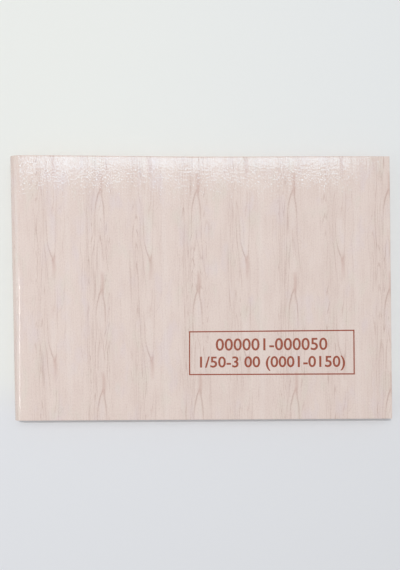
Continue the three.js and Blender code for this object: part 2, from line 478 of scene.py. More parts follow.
# %% Veins of one tile, as height: (across, strength) pairs in fractions of the tile
# The tile and its corner in millimetres, then how far the print leans per millimetre up the sheet, and
# how that changes per millimetre across it
TILE = (50.7, 52.55)
TILE_START = (-41.685, -4.676)
PRINT_LEAN = 0.0112
PRINT_FAN = -0.0000867
VEINS = [
    # the two arms of the V, and a short vein above them
    {0.0: (0.200, 0.0), 0.335: (0.285, 0.0), 0.36: (0.284, 0.9), 0.41: (0.266, 0.9), 0.46: (0.250, 0.8),
     0.52: (0.235, 0.7), 0.58: (0.226, 0.5), 0.65: (0.222, 0.6), 0.70: (0.221, 0.9), 0.74: (0.220, 0.5),
     0.80: (0.215, 0.35), 1.0: (0.200, 0.0)},
    {0.0: (0.330, 0.5), 0.06: (0.328, 0.3), 0.10: (0.325, 0.0), 0.36: (0.300, 0.0), 0.40: (0.303, 0.9),
     0.43: (0.308, 0.8), 0.48: (0.312, 0.65), 0.55: (0.314, 0.5), 0.65: (0.319, 0.3), 0.72: (0.322, 0.6),
     0.82: (0.323, 0.85), 1.0: (0.330, 0.5)},
    {0.0: (0.302, 0.5), 0.05: (0.302, 0.5), 0.08: (0.302, 0.0), 0.77: (0.280, 0.0), 0.80: (0.280, 0.4),
     0.86: (0.283, 0.6), 0.90: (0.292, 0.6), 0.95: (0.300, 0.55), 1.0: (0.302, 0.5)},
    # long veins left of the V
    {0.0: (0.240, 0.0), 0.04: (0.240, 0.3), 0.17: (0.234, 0.5), 0.22: (0.228, 0.6), 0.28: (0.221, 0.6),
     0.38: (0.212, 0.6), 0.46: (0.204, 0.65), 0.53: (0.193, 0.7), 0.56: (0.190, 0.3), 0.80: (0.192, 0.5),
     0.96: (0.200, 0.0), 1.0: (0.240, 0.0)},
    {0.0: (0.163, 0.2), 0.12: (0.160, 0.25), 0.25: (0.168, 0.3), 0.35: (0.158, 0.3), 0.45: (0.150, 0.2),
     0.60: (0.163, 0.3), 0.75: (0.160, 0.15), 0.88: (0.152, 0.3), 1.0: (0.163, 0.2)},
    {0.0: (0.130, 0.2), 0.30: (0.125, 0.35), 0.44: (0.135, 0.55), 0.52: (0.140, 0.5), 0.56: (0.130, 0.3),
     0.65: (0.120, 0.45), 0.80: (0.140, 0.3), 0.92: (0.145, 0.4), 1.0: (0.130, 0.2)},
    # right of the V
    {0.0: (0.395, 0.3), 0.04: (0.395, 0.35), 0.10: (0.390, 0.0), 0.83: (0.330, 0.0), 0.85: (0.340, 0.4),
     0.88: (0.365, 0.5), 0.90: (0.375, 0.4), 0.92: (0.380, 0.0), 1.0: (0.395, 0.3)},
    {0.0: (0.400, 0.2), 0.20: (0.405, 0.3), 0.45: (0.392, 0.35), 0.52: (0.385, 0.4), 0.60: (0.400, 0.3),
     0.75: (0.410, 0.2), 1.0: (0.400, 0.2)},
    {0.0: (0.570, 0.2), 0.25: (0.585, 0.45), 0.32: (0.590, 0.3), 0.45: (0.570, 0.4), 0.55: (0.560, 0.2),
     0.75: (0.575, 0.4), 0.85: (0.580, 0.2), 1.0: (0.570, 0.2)},
    # a bundle left of the spreading pair
    {0.0: (0.660, 0.3), 0.20: (0.658, 0.5), 0.28: (0.655, 0.55), 0.36: (0.652, 0.65), 0.46: (0.648, 0.55),
     0.56: (0.646, 0.6), 0.66: (0.645, 0.65), 0.72: (0.645, 0.35), 0.85: (0.640, 0.3), 1.0: (0.660, 0.3)},
    {0.0: (0.640, 0.25), 0.20: (0.632, 0.4), 0.32: (0.635, 0.45), 0.46: (0.632, 0.6), 0.55: (0.630, 0.6),
     0.60: (0.628, 0.3), 0.76: (0.635, 0.3), 0.84: (0.636, 0.8), 0.90: (0.640, 0.5), 1.0: (0.640, 0.25)},
    {0.0: (0.690, 0.2), 0.15: (0.688, 0.35), 0.35: (0.685, 0.4), 0.50: (0.684, 0.5), 0.64: (0.687, 0.75),
     0.70: (0.687, 0.55), 0.80: (0.688, 0.45), 0.90: (0.693, 0.65), 0.96: (0.697, 0.6), 1.0: (0.690, 0.2)},
    {0.0: (0.705, 0.5), 0.06: (0.708, 0.6), 0.12: (0.708, 0.6), 0.20: (0.703, 0.5), 0.30: (0.703, 0.6),
     0.40: (0.707, 0.5), 0.48: (0.709, 0.7), 0.52: (0.709, 0.3), 0.56: (0.710, 0.0), 0.95: (0.705, 0.0),
     1.0: (0.705, 0.5)},
    # the spreading pair
    {0.0: (0.752, 1.0), 0.03: (0.762, 1.0), 0.06: (0.775, 0.9), 0.08: (0.780, 0.0), 0.58: (0.717, 0.0),
     0.62: (0.717, 0.5), 0.70: (0.719, 0.9), 0.78: (0.721, 0.7), 0.85: (0.725, 0.7), 0.92: (0.734, 0.9),
     0.97: (0.745, 1.0), 1.0: (0.752, 1.0)},
    {0.0: (0.797, 0.6), 0.03: (0.796, 0.6), 0.07: (0.797, 0.8), 0.09: (0.795, 0.0), 0.22: (0.860, 0.0),
     0.26: (0.851, 0.7), 0.29: (0.849, 0.75), 0.34: (0.843, 0.5), 0.42: (0.834, 0.9), 0.50: (0.829, 0.6),
     0.58: (0.822, 0.5), 0.66: (0.819, 0.5), 0.75: (0.818, 0.55), 0.85: (0.815, 0.8), 0.93: (0.809, 0.7),
     1.0: (0.797, 0.6)},
    # hooks above the stem
    {0.0: (0.730, 0.0), 0.25: (0.731, 0.0), 0.28: (0.733, 0.8), 0.34: (0.735, 0.75), 0.40: (0.737, 0.8),
     0.46: (0.741, 0.9), 0.51: (0.746, 0.75), 0.55: (0.752, 0.5), 0.58: (0.757, 0.0), 1.0: (0.730, 0.0)},
    {0.0: (0.810, 0.0), 0.35: (0.806, 0.0), 0.38: (0.805, 0.75), 0.42: (0.800, 0.7), 0.47: (0.796, 0.65),
     0.52: (0.790, 0.6), 0.57: (0.775, 0.6), 0.62: (0.770, 0.6), 0.66: (0.772, 0.4), 0.68: (0.775, 0.0),
     1.0: (0.810, 0.0)},
    {0.0: (0.722, 0.3), 0.10: (0.722, 0.6), 0.20: (0.722, 0.75), 0.24: (0.722, 0.5), 0.26: (0.722, 0.0),
     0.52: (0.885, 0.0), 0.53: (0.875, 0.5), 0.545: (0.862, 0.8), 0.56: (0.845, 0.5), 0.57: (0.840, 0.0),
     0.96: (0.722, 0.0), 1.0: (0.722, 0.3)},
]
# Dark stems, one under the V and one over the spreading pair, and a third, faint one
STEMS = [
    {0.0: (0.295, 0.0), 0.15: (0.295, 0.0), 0.19: (0.295, 0.3), 0.25: (0.297, 0.6), 0.30: (0.298, 0.8),
     0.36: (0.292, 1.0), 0.39: (0.297, 0.8), 0.41: (0.300, 0.3), 0.43: (0.300, 0.0), 1.0: (0.295, 0.0)},
    {0.0: (0.775, 0.0), 0.02: (0.780, 0.3), 0.06: (0.785, 0.95), 0.10: (0.793, 0.9), 0.16: (0.795, 0.85),
     0.20: (0.792, 0.75), 0.235: (0.790, 0.4), 0.26: (0.790, 0.0), 1.0: (0.775, 0.0)},
    {0.0: (0.150, 0.0), 0.20: (0.150, 0.12), 0.27: (0.145, 0.15), 0.33: (0.140, 0.12), 0.37: (0.140, 0.0),
     0.84: (0.285, 0.0), 0.86: (0.285, 0.25), 0.89: (0.290, 0.2), 0.92: (0.290, 0.0), 1.0: (0.150, 0.0)},
]
# Broader ink on the two spreading arms and on the left arm of the V, close to their stems
ARMS = [
    {0.0: (0.753, 0.6), 0.03: (0.762, 0.6), 0.06: (0.775, 0.0), 0.80: (0.722, 0.0), 0.90: (0.731, 0.35),
     0.95: (0.741, 0.6), 1.0: (0.753, 0.6)},
    {0.0: (0.795, 0.6), 0.04: (0.795, 0.6), 0.07: (0.795, 0.0), 0.72: (0.820, 0.0), 0.84: (0.817, 0.4),
     0.92: (0.810, 0.6), 1.0: (0.795, 0.6)},
    {0.0: (0.230, 0.0), 0.385: (0.282, 0.0), 0.40: (0.272, 0.55), 0.44: (0.256, 0.55), 0.50: (0.240, 0.3),
     0.56: (0.229, 0.0), 1.0: (0.230, 0.0)},
]
# Pale lenses inside the V and under the spreading pair, and the pale strip between two bundles
LENSES = [
    {0.0: (0.275, 0.0), 0.43: (0.287, 0.0), 0.48: (0.283, 0.8), 0.62: (0.275, 1.0), 0.76: (0.262, 0.8),
     0.80: (0.260, 0.0), 1.0: (0.275, 0.0)},
    {0.0: (0.775, 0.0), 0.22: (0.765, 0.0), 0.27: (0.768, 0.6), 0.45: (0.768, 0.6), 0.50: (0.765, 0.0),
     0.66: (0.772, 0.0), 0.72: (0.772, 1.0), 0.90: (0.772, 0.9), 0.97: (0.775, 0.0), 1.0: (0.775, 0.0)},
    {0.0: (0.440, 0.7), 0.50: (0.435, 1.0), 1.0: (0.440, 0.7)},
]
# How far each kind reaches on either side of its middle, in millimetres, and how far an arm clears the fibres
VEIN_SIDE, ARM_SIDE, STEM_SIDE, LENS_SIDE = 0.45, 0.95, 1.7, 2.6
CLEARED_SIDE = 2.2
print("veins", len(VEINS), "arms", len(ARMS), "stems", len(STEMS), "lenses", len(LENSES))

# %% [markdown]
# An RGB Curves node holds three curves, so it serves three veins at once. One such node turns the height in
# the tile into three places across it, another turns it into three strengths, and vector math works on all
# three together. So three veins take seven nodes.


# %% Helpers: veins from curves
def draw_curve(curve, points, handle):
    """Replaces the points of one curve of an RGB Curves node."""
    ordered = sorted(points.items())
    curve.points[0].location = ordered[0]
    curve.points[1].location = ordered[-1]
    for x, y in ordered[1:-1]:
        curve.points.new(x, y)
    for point in curve.points:
        point.handle_type = handle


def three_curves(graph, value, veins, which, handle):
    node = graph.add("ShaderNodeRGBCurve")
    for curve, vein in zip(node.mapping.curves, veins):
        draw_curve(curve, {height: pair[which] for height, pair in vein.items()}, handle)
    node.mapping.update()
    graph.feed(node.inputs["Color"], value)
    return node.outputs["Color"]


def three_veins(graph, across, height, veins, half_width):
    """How dark three veins together are here, from 0 beside them to their own strength in their middle."""
    place = three_curves(graph, height, veins, 0, "AUTO_CLAMPED")
    strength = three_curves(graph, height, veins, 1, "VECTOR")
    offset = graph.vector("ABSOLUTE", graph.vector("SUBTRACT", across, place))
    profile = graph.add("ShaderNodeMapRange", data_type="FLOAT_VECTOR", interpolation_type="SMOOTHSTEP")
    graph.feed(profile.inputs[6], offset)
    edge = half_width / TILE[0]
    for socket, value in zip(profile.inputs[7:11], (edge, 0.0, 0.0, 1.0)):
        socket.default_value = (value, value, value)
    shaded = graph.vector("MULTIPLY", profile.outputs["Vector"], strength)
    return graph.vector("DOT_PRODUCT", shaded, (1, 1, 1))


# %% [markdown]
# The node group first finds the place in the tile. The print sways a little, like real grain, and leans
# with the sheet, because it wasn't laid quite square. Beside the veins it has bundles of fine straight
# fibres, which are the contour lines of a stretched noise, and the pale ground drifts slowly in colour.

# %% Inks of the wood print
WOOD = {
    "ground": colour(226, 208, 200),
    "pale ground": colour(229, 212, 204),
    "pink drift": colour(224, 209, 209),
    "yellow drift": colour(223, 212, 201),
    "bundle": colour(222, 203, 194),
    "lens": colour(236, 224, 218),
    "vein": colour(181, 150, 139),
    "light fibre": colour(243, 232, 226),
    "stem": colour(183, 137, 124),
}
VEIN_INK, STEM_INK, LENS_PALE, BUNDLE_TONE = 0.37, 0.36, 0.26, 0.2
FIBRE_INK, BAND_INK, SPECKLE_INK = 0.3, 0.46, 0.5
print("inks", sorted(WOOD))


# %% Node group: wood print
def place_in_tile(graph, place):
    """The place with its sway and lean, the same counted in tiles, and the two fractions within a tile."""
    wander = graph.noise(place, 0.16, 2, size=(0.35, 1, 1), tint=True)
    sway = graph.vector("MULTIPLY", graph.vector("SUBTRACT", wander, (0.5, 0.5, 0.5)), (0.4, 0, 0))
    sheet = graph.add("ShaderNodeSeparateXYZ")
    graph.feed(sheet.inputs[0], place)
    slant = graph.math("MULTIPLY_ADD", sheet.outputs[0], PRINT_FAN, PRINT_LEAN)
    lean = graph.vector("MULTIPLY", graph.math("MULTIPLY", slant, sheet.outputs[1]), (1, 0, 0))
    swayed = graph.vector("ADD", graph.vector("ADD", place, sway), lean)
    from_start = graph.vector("SUBTRACT", swayed, (*TILE_START, 0))
    in_tiles = graph.vector("DIVIDE", from_start, (*TILE, 1))
    tile = graph.add("ShaderNodeSeparateXYZ")
    graph.feed(tile.inputs[0], graph.vector("FRACTION", in_tiles))
    return swayed, in_tiles, tile.outputs[0], tile.outputs[1]


def bundle(graph, along, start, full, fading, end):
    """1 within a bundle of fibres, from one side of the tile to the other, with soft borders."""
    return graph.math("MULTIPLY", graph.ramp(along, start, full), graph.ramp(along, end, fading))


def fine_fibres(graph, swayed, bundles, beside_arms):
    """Contour lines of a stretched noise, strongest in the bundles, faded beside the strong arms."""
    field = graph.noise(swayed, 1.0, 1, 0.5, size=(0.16, 0.008, 1))
    contour = graph.math("PINGPONG", graph.math("MULTIPLY", field, 26.0), 0.5)
    fibres = graph.ramp(contour, 0.2, 0.0)
    fading = graph.ramp(graph.noise(swayed, 1.0, 2, 0.5, size=(0.9, 0.06, 1)), 0.35, 0.6)
    strength = graph.math("MULTIPLY", graph.math("MULTIPLY_ADD", bundles, FIBRE_INK, 0.1), fading)
    strength = graph.math("MULTIPLY", strength, graph.ramp(beside_arms, 0.0, 0.2, 1.0, 0.15))
    return graph.math("MULTIPLY", fibres, strength)


def drifting_ground(graph, in_tiles, bundles, lenses):
    """The pale ground, with faint drifts of colour, darker bundles and lighter lenses."""
    drift = graph.add("ShaderNodeSeparateColor")
    graph.feed(drift.inputs[0], graph.noise(in_tiles, 1.0, 2, 0.5, size=(7, 3.2, 1), tint=True))
    ground = graph.mix(graph.ramp(drift.outputs[0], 0.35, 0.65), WOOD["ground"], WOOD["pale ground"])
    ground = graph.mix(graph.ramp(drift.outputs[1], 0.52, 0.75, 0, 0.6), ground, WOOD["pink drift"])
    ground = graph.mix(graph.ramp(drift.outputs[2], 0.52, 0.75, 0, 0.6), ground, WOOD["yellow drift"])
    ground = graph.mix(graph.math("MULTIPLY", bundles, BUNDLE_TONE), ground, WOOD["bundle"])
    return graph.mix(graph.math("MULTIPLY", lenses, LENS_PALE), ground, WOOD["lens"])


def make_wood_print():
    tree, graph, given, result = new_group("wood print", {"Place": "vector"}, {"Colour": "colour"})
    place = given["Place"]
    swayed, in_tiles, along, height = place_in_tile(graph, place)
    across = graph.add("ShaderNodeCombineXYZ")
    for socket in across.inputs:
        graph.feed(socket, along)

    veins = 0.0
    for first in range(0, len(VEINS), 3):
        three = three_veins(graph, across.outputs[0], height, VEINS[first : first + 3], VEIN_SIDE)
        veins = graph.math("ADD", veins, three)
    veins = graph.math("ADD", veins, three_veins(graph, across.outputs[0], height, ARMS, ARM_SIDE))
    stems = three_veins(graph, across.outputs[0], height, STEMS, STEM_SIDE)
    lenses = three_veins(graph, across.outputs[0], height, LENSES, LENS_SIDE)
    beside_arms = three_veins(graph, across.outputs[0], height, ARMS, CLEARED_SIDE)

    left_bundle = bundle(graph, along, 0.04, 0.12, 0.20, 0.27)
    right_bundle = bundle(graph, along, 0.58, 0.63, 0.86, 0.93)
    bundles = graph.math("ADD", left_bundle, right_bundle, clamp=True)
    fibre = fine_fibres(graph, swayed, bundles, beside_arms)
    fine = graph.noise(swayed, 1.0, 2, 0.5, size=(2.4, 0.05, 1))
    band = graph.math("MULTIPLY", graph.math("SUBTRACT", fine, 0.5), BAND_INK)
    speckle = graph.noise(place, 1.7, 1, 0.5, size=(1, 0.6, 1))
    dots = graph.math("MULTIPLY", graph.math("SUBTRACT", speckle, 0.5), SPECKLE_INK)

    darkness = graph.math("ADD", graph.math("MULTIPLY", veins, VEIN_INK), graph.math("ADD", fibre, band))
    darkness = graph.math("ADD", darkness, dots)
    ground = drifting_ground(graph, in_tiles, bundles, lenses)
    toned = graph.mix(graph.math("MAXIMUM", darkness, 0.0), ground, WOOD["vein"])
    lit = graph.math("MULTIPLY", graph.math("MINIMUM", darkness, 0.0), -0.8)
    toned = graph.mix(lit, toned, WOOD["light fibre"])
    stemmed = graph.mix(graph.math("MULTIPLY", stems, STEM_INK), toned, WOOD["stem"])
    graph.feed(result["Colour"], stemmed)
    return tree


wood_print = make_wood_print()
print("wood print nodes", len(wood_print.nodes))

# %% [markdown]
# ## Finishes
# Laminated card has the print under a thin film of plastic. The film is not quite flat: it has the fine
# orange peel of the press roller, which breaks up every reflection. Uncoated paper shows short fibres and
# a slightly cloudy tone. Both effects are node groups, since several stocks share them.


# %% Node group: orange peel of a laminating film
def make_film():
    tree, graph, given, result = new_group(
        "laminating film", {"Place": "vector"}, {"Normal": "vector", "Haze": "value", "Cover": "value"}
    )
    cells = graph.noise(given["Place"], 1.0, 0, 0.5, size=(1.45, 0.95, 1))
    pores = graph.noise(given["Place"], 1.3, 0, 0.5)
    waves = graph.noise(given["Place"], 0.03, 2, 0.5)
    rough = graph.bump(cells, 0.6, 0.000053)
    warped = graph.bump(waves, 0.36, 0.0006, rough)
    graph.feed(result["Normal"], warped)
    graph.feed(result["Cover"], graph.ramp(pores, 0.42, 0.58, 0.5, 1.0))
    graph.feed(result["Haze"], graph.ramp(graph.noise(given["Place"], 0.12, 3, 0.6), 0.3, 0.75))
    return tree


laminating_film = make_film()
print("laminating film nodes", len(laminating_film.nodes))


# %% Node group: paper fibre
def make_fibre():
    tree, graph, given, result = new_group(
        "paper fibre",
        {"Place": "vector", "Colour": "colour", "Amount": "value"},
        {"Colour": "colour", "Normal": "vector"},
    )
    cloudy = graph.noise(given["Place"], 0.35, 3, 0.6)
    short = graph.noise(given["Place"], 3.0, 2, 0.7, size=(1, 0.45, 1))
    mixed = graph.math("ADD", graph.math("MULTIPLY", cloudy, 0.6), graph.math("MULTIPLY", short, 0.4))
    shade = graph.math("MULTIPLY", graph.ramp(mixed, 0.62, 0.38), given["Amount"])
    darker = graph.mix(0.75, given["Colour"], (0.25, 0.23, 0.2, 1), "MULTIPLY")
    graph.feed(result["Colour"], graph.mix(shade, given["Colour"], darker))
    graph.feed(result["Normal"], graph.bump(short, 0.35, 0.00003))
    return tree


paper_fibre = make_fibre()
print("paper fibre nodes", len(paper_fibre.nodes))

# %% [markdown]
# The printed face carries the print as its base colour and the film as its coat. The inside of the card and
# its cut edge are plain uncoated stock.


# %% Materials of the cover
def laminate():
    material, graph, shader = new_material(
        "laminated print", Coat_Roughness=0.06, Coat_IOR=1.5, Specular_IOR_Level=0.25
    )
    place = graph.flat()
    wood = graph.group(wood_print, Place=place)
    film = graph.group(laminating_film, Place=place)
    graph.feed(shader["Base Color"], wood["Colour"])
    graph.feed(shader["Coat Weight"], film["Cover"])
    graph.feed(shader["Roughness"], graph.math("MULTIPLY_ADD", film["Haze"], 0.12, 0.42))
    graph.feed(shader["Normal"], film["Normal"])
    graph.feed(shader["Coat Normal"], film["Normal"])
    return material


def paper(name, tone, amount, flat=True):
    material, graph, shader = new_material(name, Roughness=0.82, Specular_IOR_Level=0.3)
    place = graph.flat() if flat else graph.solid()
    fibre = graph.group(paper_fibre, Place=place, Colour=tone, Amount=amount)
    graph.feed(shader["Base Color"], fibre["Colour"])
    graph.feed(shader["Normal"], fibre["Normal"])
    return material


printed_laminate = laminate()
card_inside = paper("uncoated inside of the card", colour(236, 232, 226), 0.2)
card_edge = paper("cut edge of the card", colour(221, 214, 208), 0.6, flat=False)
print("card", [material.name for material in (printed_laminate, card_inside, card_edge)])

# %% [markdown]
# ## Out of true
# No bound book is quite square. The back of this one leans out at the head and in at the tail, its head is
# cut slightly hollow, and the cover is pressed down beside the fold, where a shoulder catches the light.
# Every sheet is modelled square and then moved by the same rule, so that the leaves still fit inside the
# card. A second rule is only for the top sheets, whose edges the knife presses down.

# %% How the book is out of true, in millimetres
BACK_LEAN = 1.76  # the back, out at the head and in at the tail
BACK_INSET = 0.16
BACK_START = -94
BACK_WIDTH = 6
HEAD_RISE = 0.37
HEAD_HOLLOW = 0.45
HOLLOW_LENGTH = 170
SHOULDER = -94.85
SHOULDER_SLOPE = 0.187
SHOULDER_BEND = 1.5  # over this length it turns down, and over the next it levels out again
SHOULDER_LENGTH = 2.2
SHOULDER_LEAN = 1.1  # how much further out it starts, from the next height upwards
SHOULDER_LEAN_END = 45
EDGE_DROP = 0.11
EDGE_WIDTH = 0.95


def as_bound(x, y, z):
    """The back leans out at the head and in at the tail, the head stands a little proud and is cut hollow
    along its middle, and the upper shoulder is pressed down a little beside the fold."""
    back = min(max((BACK_START - x) / BACK_WIDTH, 0), 1)
    inwards = BACK_INSET - BACK_LEAN * y / half_height
    proud = HEAD_RISE * max(y, 0) / half_height
    hollow = max(y, 0) / half_height * max(math.cos(math.pi * x / HOLLOW_LENGTH), 0) ** 2
    shoulder = SHOULDER - SHOULDER_LEAN * min(max(y, 0) / SHOULDER_LEAN_END, 1)
    bend = min(max(shoulder - x, 0), SHOULDER_BEND)
    run = min(max(shoulder - SHOULDER_BEND - x, 0), SHOULDER_LENGTH)
    upper = max(z / book_middle - 1, 0)
    drop = SHOULDER_SLOPE * (bend**2 / 2 / SHOULDER_BEND + run - run**2 / 2 / SHOULDER_LENGTH) * upper
    return x + back * inwards, y + proud - HEAD_HOLLOW * hollow, z - drop


def drooped(x, y, z):
    """The knife that trims the book presses the edges of the top card and leaves down a little."""
    inside = min(half_height - abs(y), fore_edge - x)
    share = max(1 - max(inside, 0) / EDGE_WIDTH, 0)
    return x, y, z - EDGE_DROP * share**2


for place, y in (("head", half_height), ("tail", -half_height)):
    print("back at the", place, [round(v, 2) for v in as_bound(spine_back, y, book_middle)])

# %% [markdown]
# ## The cover
# The cover is one card, folded round the back. It is modelled as two skins that meet along the middle of
# the back, because each half turns with its own panel. A flat sheet is laid at the level of the printed
# face, its inner edge is spun round the corner of the back, and then pulled down to the middle. Close
# columns of faces at the fold let it bend there, and others along the trimmed edges let them droop.


# %% Helpers for the skins of the cover
EDGE_CUTS = (1.0, 0.6, 0.25)
edge_columns = [fore_edge - d for d in EDGE_CUTS]
edge_rows = [side * (half_height - d) for side in (-1, 1) for d in EDGE_CUTS]


def unroll_cover(x, y, z):
    """Distance along the printed face, straight on round the back."""
    if x > fold_line:
        return x, y
    upper = book_top - back_radius
    if z > upper:
        turn = math.atan2(fold_line - x, z - upper)
        return fold_line - back_radius * turn, y
    quarter = back_radius * math.pi / 2
    if z >= back_radius:
        return fold_line - quarter - (upper - z), y
    turn = math.atan2(fold_line - x, back_radius - z)
    return fold_line - quarter - (upper - back_radius) - back_radius * (math.pi / 2 - turn), y


def cover_skin(name):
    skin = grid(name, (fold_line, -half_height), (fore_edge, half_height), book_top, 28, 20)
    bends = [fold_line + 0.2 * step for step in range(1, 9)]
    cut(skin, "x", bends + edge_columns)
    cut(skin, "y", edge_rows)
    pick(skin, "EDGE", lambda p: abs(p.x - fold_line) < NEAR)
    bpy.ops.mesh.spin(
        steps=24,
        angle=math.pi / 2,
        center=(fold_line * MM, 0, (book_top - back_radius) * MM),
        axis=(0, 1, 0),
        dupli=False,
    )
    bpy.ops.mesh.extrude_region_move(
        TRANSFORM_OT_translate={"value": (0, 0, (book_middle - book_top + back_radius) * MM)}
    )
    bpy.ops.object.mode_set(mode="OBJECT")
    return skin


# %% [markdown]
# Solidify gives a sheet its thickness, and puts other materials on its far face and its rim. A small bevel
# takes the sharpness off the edges, weighted so that it leaves the seam between the two skins alone. The
# UV map comes last, from how far each place lies from the fold along the printed face.


# %% Helpers for finishing a sheet
def soften(piece, width, leave=None):
    """Rounds the sharp edges a little, except those that leave() picks out."""
    take(piece)
    bpy.ops.object.mode_set(mode="EDIT")
    bpy.ops.mesh.select_mode(type="EDGE")
    bpy.ops.mesh.select_all(action="DESELECT")
    bpy.ops.mesh.edges_select_sharp(sharpness=math.radians(50))
    bpy.ops.object.mode_set(mode="OBJECT")
    mesh = piece.data
    weight = mesh.attributes.new("bevel_weight_edge", "FLOAT", "EDGE")
    for e in mesh.edges:
        left = leave is not None and all(leave(mesh.vertices[i].co * 1000) for i in e.vertices)
        weight.data[e.index].value = 1.0 if e.select and not left else 0.0
    modify(piece, "BEVEL", width=width * MM, segments=2, limit_method="WEIGHT")
    mesh.attributes.remove(mesh.attributes["bevel_weight_edge"])


def copy_of(piece, name):
    """A copy with its own mesh."""
    twin = piece.copy()
    twin.data = piece.data.copy()
    twin.name = twin.data.name = name
    bpy.context.scene.collection.objects.link(twin)
    return twin


def paint(piece, *materials):
    piece.data.materials.clear()
    for material in materials:
        piece.data.materials.append(material)


def look_out(piece, direction):
    """Recalculates normals of an open sheet, and turns them so that most of it faces that way."""
    face_outwards(piece)
    towards = sum(p.normal.dot(direction) * p.area for p in piece.data.polygons)
    if towards < 0:
        take(piece)
        bpy.ops.object.mode_set(mode="EDIT")
        bpy.ops.mesh.select_all(action="SELECT")
        bpy.ops.mesh.flip_normals()
        bpy.ops.object.mode_set(mode="OBJECT")


# %% [markdown]
# With these the front cover can be finished. A copy of the bare skin is set aside first, for the back cover.


# %% Front cover
def finish_cover(skin, outwards, unroll):
    look_out(skin, Vector(outwards))
    paint(skin, printed_laminate, card_inside, card_edge)
    modify(skin, "SOLIDIFY", thickness=card * MM, offset=-1, material_offset=1, material_offset_rim=2)
    soften(skin, 0.09, leave=lambda p: abs(p.z - book_middle) < NEAR)
    lay_out(skin, unroll)
    smooth(skin)


front_skin = cover_skin("front_cover_card")
back_skin = copy_of(front_skin, "back_cover_card")
finish_cover(front_skin, (0, 0, 1), unroll_cover)
shape(front_skin, drooped)
shape(front_skin, as_bound)
report(front_skin)

# %% [markdown]
# The back cover is the same sheet turned over. Its print carries straight on round the back from the
# front, so the veins don't jump at the seam.

# %% Back cover
take(back_skin)
bpy.ops.object.mode_set(mode="EDIT")
bpy.ops.mesh.select_all(action="SELECT")
bpy.ops.transform.resize(value=(1, 1, -1), center_override=(0, 0, book_middle * MM))
bpy.ops.object.mode_set(mode="OBJECT")


def unroll_back(x, y, z):
    if x > fold_line:
        return unroll_cover(fold_line, y, 0)[0] - (x - fold_line), y
    return unroll_cover(x, y, z)


finish_cover(back_skin, (0, 0, -1), unroll_back)
shape(back_skin, as_bound)
report(back_skin)

# %% [markdown]
# ## The label
# A thin frame and two rows of plain digits are printed in brown-red ink. They are thin solids on the
# cover, so their outline stays crisp. The frame is a face that is inset, with its middle taken out, and
# the digits are text turned into a mesh and then fitted to the width and height of each row.

# %% Label, in millimetres
ink_level = book_top + 0.012
ink_film = 0.02
label_corners = ((-6.95, -46.05), (80.4, -22.75))
label_line = 0.66


def ink_material(name, tone, deep):
    material, graph, shader = new_material(name, Coat_Weight=1.0, Coat_Roughness=0.06, Roughness=0.5)
    place = graph.solid()
    film = graph.group(laminating_film, Place=place)
    patchy = graph.ramp(graph.noise(place, 1.6, 2, 0.6), 0.35, 0.7)
    graph.feed(shader["Base Color"], graph.mix(patchy, tone, deep))
    graph.feed(shader["Normal"], film["Normal"])
    graph.feed(shader["Coat Normal"], film["Normal"])
    return material


brown_ink = ink_material("brown-red ink", colour(157, 71, 37), colour(145, 60, 28))

label_frame = grid("label_frame", *label_corners, ink_level)
pick(label_frame, "FACE", lambda p: True)
bpy.ops.mesh.inset(thickness=label_line * MM)
bpy.ops.mesh.delete(type="FACE")
bpy.ops.object.mode_set(mode="OBJECT")
modify(label_frame, "SOLIDIFY", thickness=ink_film * MM, offset=-1)
paint(label_frame, brown_ink)
report(label_frame)

# %% [markdown]
# Text comes in as a curve, with a small offset that sets how bold the strokes are. As a mesh it is stretched
# until its outermost points meet the given left and right ends, base line and cap height.


# %% Rows of digits
def row_of_digits(name, words, left, right, base, cap, level, ink, weight, spacing=1.0):
    deselect()
    bpy.ops.object.text_add()
    text = bpy.context.object
    text.name = name
    text.data.body = words
    text.data.offset = weight
    text.data.space_character = spacing
    text.data.extrude = 0.5
    text.data.resolution_u = 4
    bpy.ops.object.convert(target="MESH")
    row = bpy.context.object
    row.data.name = name
    settle(row)
    corners = [[f(c) for c in zip(*(v.co for v in row.data.vertices))] for f in (min, max)]
    digit_height = corners[1][1] - corners[0][1]
    wide = corners[1][0] - corners[0][0]

    def fit(x, y, z):
        along = (x / 1000 - corners[0][0]) / wide
        up = (y / 1000 - corners[0][1]) / digit_height
        raised = (z / 1000 + 0.5) * ink_film
        return left + along * (right - left), base + up * cap, level - ink_film + raised

    shape(row, fit)
    paint(row, ink)
    report(row)
    return row


label_top = row_of_digits(
    "label_digits_upper", "000001-000050", 7.1, 66.0, -33.25, 6.5, ink_level, brown_ink, 0.012
)
label_low = row_of_digits(
    "label_digits_lower", "1/50-3 00 (0001-0150)", -1.2, 75.3, -43.9, 7.7, ink_level, brown_ink, 0.016
)

# %% [markdown]
# The label isn't printed quite square to the page either, so its three pieces are moved by one rule.

# %% The label is a little askew
FLARE = 0.0067  # how far the upper line rises with each millimetre to the right of the middle
FLARE_MIDDLE = 36.7
FLARE_FOOT = -45.8
FLARE_HEIGHT = 22.7


def askew(x, y, z):
    """The label isn't quite square to the page: it widens a little to the right."""
    return x, y + FLARE * (x - FLARE_MIDDLE) * (y - FLARE_FOOT) / FLARE_HEIGHT, z


for piece in (label_frame, label_top, label_low):
    shape(piece, askew)
    report(piece)

# %% [markdown]
# ## Paper
# Each leaf is carbonless paper, white, yellow or pink, with a ruled form printed in thin grey-green lines.
# The form has no words, only boxes and rules. It is drawn in the shader from the distance to a few
# straight lines on the flat sheet, so it bends with the leaf.


